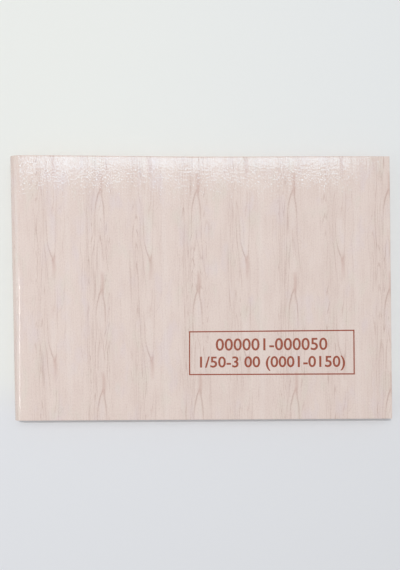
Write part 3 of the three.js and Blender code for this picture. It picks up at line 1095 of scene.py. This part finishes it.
# %% Node group: ruled form
FORM_LEFT, FORM_RIGHT = -78, 92
TABLE_FOOT, TABLE_HEAD = -38, 38
SUM_COLUMN = 62
ROW_PITCH = 10.0
FORM_BOXES = [
    (46, FORM_RIGHT, 44, 60),
    (FORM_LEFT, -20, 44, 60),
    (30, FORM_RIGHT, -60, -44),
    (SUM_COLUMN, FORM_RIGHT, TABLE_FOOT, TABLE_HEAD),
]


def make_form():
    tree, graph, given, result = new_group(
        "ruled form", {"Place": "vector"}, {"Lines": "value", "Wash": "value"}
    )
    split = graph.add("ShaderNodeSeparateXYZ")
    graph.feed(split.inputs[0], given["Place"])
    x, y = split.outputs[0], split.outputs[1]

    def between(value, low, high):
        above = graph.math("GREATER_THAN", value, low)
        below = graph.math("LESS_THAN", value, high)
        return graph.math("MULTIPLY", above, below)

    def line_at(value, place, thick):
        return graph.math("COMPARE", value, place, thick / 2)

    def box(left, right, low, high, thick=0.35):
        sides = graph.math("MAXIMUM", line_at(x, left, thick), line_at(x, right, thick))
        ends = graph.math("MAXIMUM", line_at(y, low, thick), line_at(y, high, thick))
        sides = graph.math("MULTIPLY", sides, between(y, low - thick / 2, high + thick / 2))
        ends = graph.math("MULTIPLY", ends, between(x, left - thick / 2, right + thick / 2))
        return graph.math("MAXIMUM", sides, ends)

    every_row = graph.math("PINGPONG", graph.math("SUBTRACT", y, -46.0), ROW_PITCH / 2)
    rules = graph.math("MULTIPLY", graph.math("LESS_THAN", every_row, 0.12), between(y, -31, 31))
    rules = graph.math("MULTIPLY", rules, between(x, FORM_LEFT + 2, FORM_RIGHT - 2))
    lines = graph.math("MAXIMUM", rules, box(FORM_LEFT, FORM_RIGHT, TABLE_FOOT, TABLE_HEAD))
    for sides in FORM_BOXES:
        lines = graph.math("MAXIMUM", lines, box(*sides))
    wash = graph.math("MULTIPLY", between(x, SUM_COLUMN, FORM_RIGHT), between(y, TABLE_FOOT, TABLE_HEAD))
    graph.feed(result["Lines"], lines)
    graph.feed(result["Wash"], wash)
    return tree


ruled_form = make_form()
print("ruled form nodes", len(ruled_form.nodes))

# %% [markdown]
# The printed face of a leaf has the form over the fibres of its paper, and its back is plain.


# %% Papers of the leaves
def form_paper(name, tone, ink):
    material, graph, shader = new_material(name, Roughness=0.82, Specular_IOR_Level=0.3)
    place = graph.flat()
    form = graph.group(ruled_form, Place=place)
    fibre = graph.group(paper_fibre, Place=place, Colour=tone, Amount=0.18)
    washed = graph.mix(graph.math("MULTIPLY", form["Wash"], 0.12), fibre["Colour"], ink)
    graph.feed(shader["Base Color"], graph.mix(graph.math("MULTIPLY", form["Lines"], 0.75), washed, ink))
    graph.feed(shader["Normal"], fibre["Normal"])
    return material


form_ink = colour(96, 128, 120)
white_form = form_paper("white form paper", colour(246, 245, 240), form_ink)
yellow_form = form_paper("yellow form paper", colour(245, 234, 168), form_ink)
pink_form = form_paper("pink form paper", colour(243, 201, 205), form_ink)
white_back = paper("white paper", colour(244, 243, 238), 0.2)
yellow_back = paper("yellow paper", colour(243, 231, 165), 0.2)
pink_back = paper("pink paper", colour(241, 198, 202), 0.2)
print("papers", [material.name for material in (white_form, yellow_form, pink_form)])

# %% [markdown]
# ## The first set
# The first three leaves are whole sheets here: the bound stub and the leaf that turns are one piece of
# paper, with a line of slits cut through it where it tears. The slits are faces taken out of a narrow
# column before Solidify gives the sheet its thickness. The crown of each staple sits in a seat pressed
# into the stubs.

# %% Holes in the leaves, in millimetres
wire_half_thick = 0.25
wire_half_wide = (upper_high[0] - upper_low[0]) / 2
half_crown = (upper_high[1] - upper_low[1]) / 2
staple_middle = (upper_low[1] + upper_high[1]) / 2
staple_x = (upper_low[0] + upper_high[0]) / 2
seat_slack = 0.06
seat_x = wire_half_wide + seat_slack
seat_y = half_crown + seat_slack
leg_place = half_crown - wire_half_thick
leg_room = 0.35


def seats():
    """The two long openings in which a crown or the clinched points lie."""
    left, right = staple_x - seat_x, staple_x + seat_x
    return [(left, right, y - seat_y, y + seat_y) for y in (-staple_middle, staple_middle)]


def leg_holes():
    """The four small openings for the legs."""
    left, right = staple_x - seat_x, staple_x + seat_x
    places = [side * staple_middle + end * leg_place for side in (-1, 1) for end in (-1, 1)]
    return [(left, right, y - leg_room, y + leg_room) for y in places]


def sheet_with_holes(name, start, level, holes, columns=(), rows=()):
    """A flat sheet from the back to the fore-edge, with rectangular holes."""
    sheet = grid(name, (start, -half_height), (fore_edge, half_height), level)
    x_cuts = sorted({round(v, 4) for h in holes for v in h[:2]} | {round(v, 4) for v in columns})
    y_cuts = sorted({round(v, 4) for h in holes for v in h[2:]} | {round(v, 4) for v in rows})
    cut(sheet, "x", x_cuts)
    cut(sheet, "y", y_cuts)
    remove_faces(sheet, lambda p: any(a < p.x < b and c < p.y < d for a, b, c, d in holes))
    return sheet


slit_pitch, slit_length, slit_width = 2.0, 1.4, 0.2
slit_left, slit_right = perforation - slit_width / 2, perforation + slit_width / 2
slits = []
slit_start = -half_height + 0.3
while slit_start + slit_length < half_height:
    slits.append((slit_left, slit_right, slit_start, slit_start + slit_length))
    slit_start += slit_pitch
print("seats", len(seats()), "leg holes", len(leg_holes()), "slits", len(slits))

# %% [markdown]
# Close columns beside the slits let a leaf bend at its perforation, and a few more across the sheet let
# it follow the hollow head.

# %% Leaves of the first set
fold_columns = [perforation + d for d in (-0.6, -0.35, 0.35, 0.6)]
hollow_columns = [-70, -40, -10, 20, 50, 80]
leaf_columns = fold_columns + edge_columns + hollow_columns


def top_leaf(name, low, high, front, back):
    sheet = sheet_with_holes(name, low[0], high[2], seats() + slits, leaf_columns, edge_rows)
    paint(sheet, front, back)
    modify(sheet, "SOLIDIFY", thickness=leaf * MM, offset=-1, material_offset=1, material_offset_rim=1)
    lay_out(sheet, lambda x, y, z: (x, y))
    shape(sheet, drooped)
    shape(sheet, as_bound)
    report(sheet)
    return sheet


leaf_names = ("original", "first_copy", "second_copy")
fronts = (white_form, yellow_form, pink_form)
backs = (white_back, yellow_back, pink_back)
top_leaves = {}
for leaf_name, front, back in zip(leaf_names, fronts, backs):
    low, high = node_box(f"{leaf_name}_stub")
    top_leaves[leaf_name] = top_leaf(f"{leaf_name}_sheet", low, high, front, back)

# %% [markdown]
# ## The block of sets
# Under the first set lie 49 more, of three leaves each. Every leaf is its own thin sheet with holes for the
# wire, so that the trimmed edges read as paper from close by. One leaf is modelled, an array repeats it
# down the block, and each copy's inner edge is then moved to where the rounded back leaves it. The
# lowest nine leaves have long seats for the clinched points in place of holes.

# %% Leaves of the block, in millimetres
AIR_BETWEEN_SETS = 0.01
AIR_BETWEEN_LEAVES = 0.006
UNEVEN_TRIM = 0.035
pitch = (set_high[2] - set_low[2] + AIR_BETWEEN_SETS) / 3
block_top = set_high[2]
joined_leaves = round((joined_high[2] - joined_low[2]) / pitch)
single_leaves = round((block_top - joined_high[2]) / pitch)
leaf_end = fold_line - leaf_end_radius
rng = random.Random(7)
print("leaves", single_leaves, joined_leaves, "pitch", round(pitch, 4))


def inner_end(z):
    """Where a leaf at this level ends, so that the block follows the rounded back."""
    off = max(back_radius - z, z - (book_top - back_radius), 0)
    return fold_line - math.sqrt(max(leaf_end_radius**2 - off**2, 0))


def block_of_leaves(name, count, top, holes):
    block = sheet_with_holes(name, leaf_end, top, holes, rows=(-50, -17, 17, 50))
    modify(block, "SOLIDIFY", thickness=(pitch - AIR_BETWEEN_LEAVES) * MM, offset=-1)
    modify(
        block,
        "ARRAY",
        count=count,
        use_relative_offset=False,
        use_constant_offset=True,
        constant_offset_displace=(0, 0, -pitch * MM),
    )
    uneven = [[rng.uniform(-UNEVEN_TRIM, UNEVEN_TRIM) for _ in range(3)] for _ in range(count)]

    def seat(x, y, z):
        number = min(max(int((top - z + 0.001) / pitch), 0), count - 1)
        if x < leaf_end + NEAR:
            x = max(inner_end(z), leaf_end)
        if x > fore_edge - NEAR:
            x += uneven[number][0] * (1 + 0.3 * math.sin(y / 9 + number))
        if abs(y) > half_height - NEAR:
            y += uneven[number][1 if y > 0 else 2] * 0.7
        return as_bound(x, y, z)

    paint(block, white_edge, yellow_edge, pink_edge, pink_back)
    for p in block.data.polygons:
        number = min(int((top - p.center.z * 1000) / pitch), count - 1)
        p.material_index = 3 if p.normal.z < -0.5 else number % 3
    lay_out(block, lambda x, y, z: (x, y))
    shape(block, seat)
    report(block)
    return block


# %% [markdown]
# The cut edges of the leaves are a little uneven, so some catch less light; that shade is painted into their
# colour as long thin streaks. The guillotine also leaves faint drag marks across the stack. Both are noise,
# stretched along or across it.


# %% Materials of the cut edges
def edge_paper(name, tone, shade):
    material, graph, shader = new_material(name, Roughness=0.88, Specular_IOR_Level=0.25)
    place = graph.solid()
    # Painted shade: long thin streaks darken the edge colour where uneven leaves would catch less light.
    painted_shade_streaks = graph.noise(place, 1.0, 2, 0.6, size=(0.12, 0.12, 9))
    marks = graph.noise(place, 1.0, 2, 0.5, size=(1.3, 1.3, 0.05))
    painted_shade_and_drag_marks = graph.math("ADD", graph.ramp(painted_shade_streaks, 0.46, 0.7, 0, 0.6), graph.ramp(marks, 0.5, 0.75, 0, 0.2))
    graph.feed(shader["Base Color"], graph.mix(painted_shade_and_drag_marks, tone, shade))
    graph.feed(shader["Normal"], graph.bump(marks, 0.3, 0.00004))
    return material


white_edge = edge_paper("trimmed white paper", colour(250, 249, 246), colour(228, 224, 217))
yellow_edge = edge_paper("trimmed yellow paper", colour(247, 241, 210), colour(230, 219, 174))
pink_edge = edge_paper("trimmed pink paper", colour(246, 221, 224), colour(226, 192, 197))

# %% [markdown]
# The block is two pieces: the single leaves, with holes for the legs of the wire, and the lowest nine, with
# the seats for its points.

# %% Both blocks
leaf_block = block_of_leaves("leaf_block", single_leaves, block_top, leg_holes())
lowest_leaves = block_of_leaves("lowest_leaves", joined_leaves, joined_high[2], seats())

# %% [markdown]
# The second receipt lies on top of the block, seen when the first set is turned over. Its form is a
# printed face of its own, just above the first leaf of the block, with the form's rules on it.

# %% Face of the second receipt, in millimetres
FACE_RISE = 0.006
FACE_THICK = 0.004
FACE_MARGIN = 0.08
FACE_SHARE = 0.9988  # of the height of the leaves
face_start = inner_end(block_top) + 0.1
second_face = sheet_with_holes("second_receipt", face_start, block_top + FACE_RISE, leg_holes())
modify(second_face, "SOLIDIFY", thickness=FACE_THICK * MM, offset=-1)
paint(second_face, white_form)
lay_out(second_face, lambda x, y, z: (x, y))
shape(second_face, lambda x, y, z: as_bound(min(x, fore_edge - FACE_MARGIN), y * FACE_SHARE, z))
report(second_face)

# %% [markdown]
# Each leaf carries its number in red, in the box at the upper right. The three leaves of a set share one
# number, since they are one receipt and its two copies.

# %% Numbers on the leaves
red_ink, ink_graph, ink_shader = new_material("red numbering ink", Roughness=0.6)
patchy = ink_graph.ramp(ink_graph.noise(ink_graph.solid(), 2.2, 2, 0.6), 0.35, 0.7)
ink_graph.feed(ink_shader["Base Color"], ink_graph.mix(patchy, colour(196, 52, 46), colour(176, 40, 40)))
NUMBER_PLACE = (52, 86, 48.5, 6.5)  # left, right, base line and cap height
NUMBER_RISE = 0.004
NUMBER_SUNK = 0.01


def sit_on(number, top):
    """The face of the digits stands a hair above the leaf, and their back is sunk in it."""

    def seat(x, y, z):
        raised = z > top + NUMBER_RISE - ink_film / 2
        return x, y, top + (NUMBER_RISE if raised else -NUMBER_SUNK)

    shape(number, seat)


numbers = {}
for leaf_name in leaf_names:
    top = node_box(f"{leaf_name}_leaf")[1][2]
    number = row_of_digits(
        f"{leaf_name}_number", "000001", *NUMBER_PLACE, top + NUMBER_RISE, red_ink, 0.015, 1.1
    )
    sit_on(number, top)
    numbers[leaf_name] = number
number_two = row_of_digits(
    "second_receipt_number", "000002", *NUMBER_PLACE, block_top + 0.012, red_ink, 0.015, 1.1
)

# %% [markdown]
# ## Staples
# Each staple is one flat-rolled wire. Half of it is drawn as a ring of vertices that is extruded along the
# crown, spun round the corner, extruded down the leg and spun again under the block, and the other half is
# its mirror image. The point is cut to a chisel.

# %% Half a staple, in millimetres
bend_radius = 0.6
clinched_length = 5.0
chisel_length = 0.8
chisel_rise = 0.12
crown_level = upper_high[2] - wire_half_thick
clinch_level = upper_low[2] + wire_half_thick
tip_place = half_crown - clinched_length


def extrude(y, z):
    """Pulls the picked ring along the wire, by millimetres."""
    bpy.ops.mesh.extrude_region_move(TRANSFORM_OT_translate={"value": (0, y * MM, z * MM)})


def wire_half():
    deselect()
    bpy.ops.mesh.primitive_circle_add(
        vertices=16, radius=MM, location=(0, 0, crown_level * MM), rotation=(math.pi / 2, 0, 0)
    )
    wire = bpy.context.object
    wire.scale = (wire_half_wide, wire_half_thick, 1)
    settle(wire)
    pick(wire, "VERT", lambda p: True)
    corner_y = half_crown - wire_half_thick - bend_radius
    turn = dict(steps=7, angle=math.pi / 2, dupli=False, axis=(1, 0, 0))
    extrude(corner_y, 0)
    bpy.ops.mesh.spin(center=(0, corner_y * MM, (crown_level - bend_radius) * MM), **turn)
    extrude(0, -(crown_level - clinch_level - 2 * bend_radius))
    bpy.ops.mesh.spin(center=(0, corner_y * MM, (clinch_level + bend_radius) * MM), **turn)
    extrude(-(corner_y - tip_place - chisel_length), 0)
    extrude(-chisel_length, chisel_rise)
    bpy.ops.transform.resize(value=(0.8, 1, 0.3))
    bpy.ops.mesh.edge_face_add()
    bpy.ops.object.mode_set(mode="OBJECT")
    return wire


# %% [markdown]
# Galvanised wire is a dull metal with a faint cloudy tone, brighter and darker, and fine marks along it from
# the die that it was drawn through.


# %% Both staples
def wire_material():
    material, graph, shader = new_material("galvanised wire", Metallic=1.0)
    place = graph.solid()
    drawn = graph.noise(place, 1.0, 3, 0.6, size=(9, 1.2, 9))
    spangle = graph.noise(place, 2.5, 2, 0.5)
    tone = graph.mix(graph.ramp(spangle, 0.35, 0.65), colour(196, 198, 200), colour(168, 171, 174))
    graph.feed(shader["Base Color"], tone)
    graph.feed(shader["Roughness"], graph.math("MULTIPLY_ADD", drawn, 0.25, 0.22))
    graph.feed(shader["Normal"], graph.bump(drawn, 0.25, 0.00003))
    return material


wire = wire_half()
modify(wire, "MIRROR", use_axis=(False, True, False), use_clip=True)
face_outwards(wire)
paint(wire, wire_material())
smooth(wire, 40)
wire_copy = copy_of(wire, "staple_wire_lower")
wire.name = wire.data.name = "staple_wire_upper"
shape(wire, lambda x, y, z: (x + staple_x, y + staple_middle, z))
shape(wire_copy, lambda x, y, z: (x + staple_x, y - staple_middle, z))
report(wire)
report(wire_copy)

# %% [markdown]
# ## Glue
# A skin of white glue holds the ends of the leaves inside the rounded back. A flat strip along the middle
# of the back is spun round both corners, given its thickness, and then made a little uneven, because glue
# is spread with a brush.

# %% Glue
glue_low, glue_high = node_box("spine_glue")
glue_grip = 0.3  # how far it reaches in round the ends of the leaves
deselect()
bpy.ops.mesh.primitive_grid_add(
    x_subdivisions=2,
    y_subdivisions=36,
    size=MM,
    location=(glue_low[0] * MM, 0, book_middle * MM),
    rotation=(0, -math.pi / 2, 0),
)
glue = bpy.context.object
glue.name = glue.data.name = "glue_skin"
glue.scale = (book_top - 2 * back_radius, 2 * half_height, 1)
settle(glue)
for upper in (True, False):
    corner = book_top - back_radius if upper else back_radius
    pick(glue, "EDGE", lambda p: abs(p.z - corner) < NEAR)
    bpy.ops.mesh.spin(
        steps=10,
        angle=math.pi / 2,
        center=(fold_line * MM, 0, corner * MM),
        axis=(0, -1 if upper else 1, 0),
        dupli=False,
    )
    bpy.ops.object.mode_set(mode="OBJECT")
look_out(glue, Vector((-1, 0, 0)))
modify(glue, "SOLIDIFY", thickness=(glue_high[2] - stub_high[2] + glue_grip) * MM, offset=-1)
report(glue)


def glue_material():
    material, graph, shader = new_material("binding glue", Subsurface_Weight=0.1, Subsurface_Scale=0.001)
    place = graph.solid()
    lumps = graph.noise(place, 0.7, 3, 0.55, size=(1, 0.4, 1))
    tone = graph.mix(graph.ramp(lumps, 0.35, 0.7), colour(236, 230, 208), colour(218, 208, 178))
    graph.feed(shader["Base Color"], tone)
    graph.feed(shader["Roughness"], graph.math("MULTIPLY_ADD", lumps, 0.3, 0.3))
    graph.feed(shader["Normal"], graph.bump(lumps, 0.5, 0.00015))
    return material


paint(glue, glue_material())
shape(glue, lambda x, y, z: as_bound(x, y * (1 - 0.002 * (1 + math.sin(z * 3.1))), z))
smooth(glue, 40)

# %% [markdown]
# ## Writing shield
# A loose piece of grey board goes under the set that is written on, so that the pen doesn't mark the next
# one. Its corners are rounded so that they don't catch, and its long fibres and specks show on both faces.

# %% Writing shield
shield = grid("shield_board", shield_low, shield_high, shield_high[2], 12)
pick(shield, "VERT", lambda p: min(p.x - shield_low[0], shield_high[0] - p.x) < NEAR)
bpy.ops.mesh.bevel(offset=2.5 * MM, segments=6, affect="VERTICES")
bpy.ops.object.mode_set(mode="OBJECT")
modify(shield, "SOLIDIFY", thickness=(shield_high[2] - shield_low[2]) * MM, offset=-1)
soften(shield, 0.07)
shape(shield, as_bound)
smooth(shield)
report(shield)


def board_material():
    material, graph, shader = new_material("grey board", Roughness=0.86, Specular_IOR_Level=0.25)
    place = graph.solid()
    fibre = graph.group(paper_fibre, Place=place, Colour=colour(196, 189, 176), Amount=0.4)
    specks = graph.ramp(graph.noise(place, 2.2, 2, 0.6), 0.66, 0.74, 0, 0.6)
    pale = graph.ramp(graph.noise(place, 1.6, 3, 0.7, size=(1, 0.3, 1)), 0.6, 0.72, 0, 0.35)
    toned = graph.mix(pale, fibre["Colour"], colour(214, 207, 194))
    graph.feed(shader["Base Color"], graph.mix(specks, toned, colour(112, 102, 90)))
    graph.feed(shader["Normal"], fibre["Normal"])
    return material


paint(shield, board_material())
print("shield painted", shield.data.materials[0].name)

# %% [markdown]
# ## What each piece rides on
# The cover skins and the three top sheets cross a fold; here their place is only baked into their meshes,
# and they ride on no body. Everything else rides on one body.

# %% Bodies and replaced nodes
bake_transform(front_skin)
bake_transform(back_skin)
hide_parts("front_cover", "cover_spine")
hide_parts("back_cover")
for piece in (label_frame, label_top, label_low):
    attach(piece, "front_cover")
for leaf_name, slot in zip(leaf_names, ("white_paper", "yellow_paper", "pink_paper")):
    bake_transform(top_leaves[leaf_name])
    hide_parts(f"{leaf_name}_stub", f"{leaf_name}_leaf")
    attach(numbers[leaf_name], f"{leaf_name}_leaf")
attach(shield, "writing_shield")
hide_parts("writing_shield")
for piece, slot in (
    (leaf_block, "leaf_sets"),
    (lowest_leaves, "leaf_sets"),
    (second_face, "leaf_sets"),
    (number_two, "leaf_sets"),
    (wire, "staple_wire"),
    (wire_copy, "staple_wire"),
    (glue, "binding_glue"),
):
    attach(piece, "block")
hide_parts(*[f"set_{number:02d}" for number in range(2, 48)])
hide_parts("sets_48_to_50")
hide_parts("staple_upper")
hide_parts("staple_lower")
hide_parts("spine_glue")
